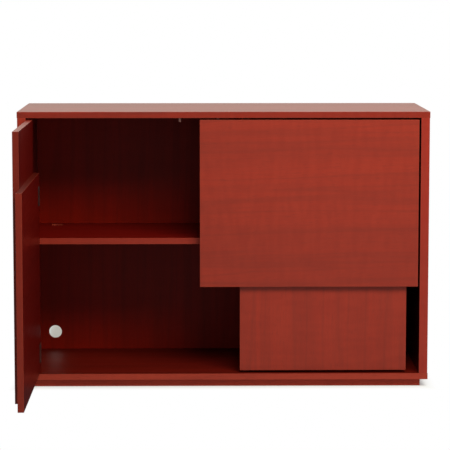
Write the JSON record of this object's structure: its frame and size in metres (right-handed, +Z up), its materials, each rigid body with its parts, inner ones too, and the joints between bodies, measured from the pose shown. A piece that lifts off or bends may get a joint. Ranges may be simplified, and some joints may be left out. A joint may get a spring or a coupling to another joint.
{
  "type": "sideboard",
  "caption": "Low wide sideboard: open-fronted wooden case on a recessed plinth, with layered hinged doors, shelves and cable holes inside.",
  "frame": {"origin": "on the floor under the middle of the case, on the underside of the plinth's middle rail", "axes": "+X to the right as seen from the front, +Y to the back, +Z up; the doors face -Y"},
  "size_m": [1.2, 1.0469, 0.81],
  "materials": {
    "carcass_veneer": "red-stained wood veneer, semi-gloss lacquer",
    "back_veneer": "red-stained wood veneer, semi-gloss lacquer",
    "shelf_veneer": "red-stained wood veneer, semi-gloss lacquer",
    "plinth_veneer": "red-stained wood veneer, semi-gloss lacquer",
    "door_veneer_level": "red-stained veneer with level grain, semi-gloss lacquer",
    "door_veneer_upright": "red-stained veneer with upright grain, semi-gloss lacquer",
    "beech": "plain beech, turned or sawn",
    "nickel_plate": "satin nickel plate on steel",
    "zinc_plate": "bright zinc plate on steel",
    "latch_plastic": "moulded acetal, light grey"
  },
  "bodies": {
    "carcass": {"top_board": "carcass_veneer", "bottom_board": "carcass_veneer", "left_side": "carcass_veneer", "right_side": "carcass_veneer", "back_panel": "back_veneer", "divider": "carcass_veneer", "left_shelf": "shelf_veneer", "right_shelf": "shelf_veneer", "shelf_pins": "nickel_plate", "carcass_dowels": "beech", "plinth_front_rail": "plinth_veneer", "plinth_back_rail": "plinth_veneer", "plinth_left_rail": "plinth_veneer", "plinth_right_rail": "plinth_veneer", "plinth_middle_rail": "plinth_veneer", "plinth_corner_blocks": "beech", "plinth_screws": "zinc_plate", "left_hinge_arms": "nickel_plate", "left_hinge_plates": "nickel_plate", "left_hinge_plate_screws": "zinc_plate", "left_hinge_arm_screws": "zinc_plate", "right_hinge_arms": "nickel_plate", "right_hinge_plates": "nickel_plate", "right_hinge_plate_screws": "zinc_plate", "right_hinge_arm_screws": "zinc_plate", "left_latch_case": "latch_plastic", "right_latch_case": "latch_plastic", "left_latch_spring": "zinc_plate", "right_latch_spring": "zinc_plate", "latch_screws": "zinc_plate"},
    "left_door": {"left_door_front_board": "door_veneer_upright", "left_door_rear_board": "door_veneer_level", "left_door_dowels": "beech", "left_hinge_cups": "nickel_plate", "left_hinge_pins": "nickel_plate", "left_hinge_cup_screws": "zinc_plate"},
    "right_door": {"right_door_upper_board": "door_veneer_level", "right_door_lower_board": "door_veneer_upright", "right_door_dowels": "beech", "right_hinge_cups": "nickel_plate", "right_hinge_pins": "nickel_plate", "right_hinge_cup_screws": "zinc_plate"},
    "left_latch_plunger": {"left_latch_plunger": "latch_plastic"},
    "right_latch_plunger": {"right_latch_plunger": "latch_plastic"}
  },
  "joints": [
    {"name": "left_door_hinge", "type": "hinge", "parent": "carcass", "child": "left_door", "pos_m": [-0.563, -0.2164, 0.4], "axis": [0, 0, -1], "range_deg": [-90, 10]},
    {"name": "right_door_hinge", "type": "hinge", "parent": "carcass", "child": "right_door", "pos_m": [0.563, -0.2164, 0.4], "axis": [0, 0, 1], "range_deg": [0, 100]},
    {"name": "left_latch_press", "type": "slide", "parent": "carcass", "child": "left_latch_plunger", "axis": [0, 1, 0], "range_m": [0, 0.003], "stiffness_N_per_m": 250, "springref_m": -0.002, "deforming": ["left_latch_spring"]},
    {"name": "right_latch_press", "type": "slide", "parent": "carcass", "child": "right_latch_plunger", "axis": [0, 1, 0], "range_m": [0, 0.003], "stiffness_N_per_m": 250, "springref_m": -0.002, "deforming": ["right_latch_spring"]}
  ]
}
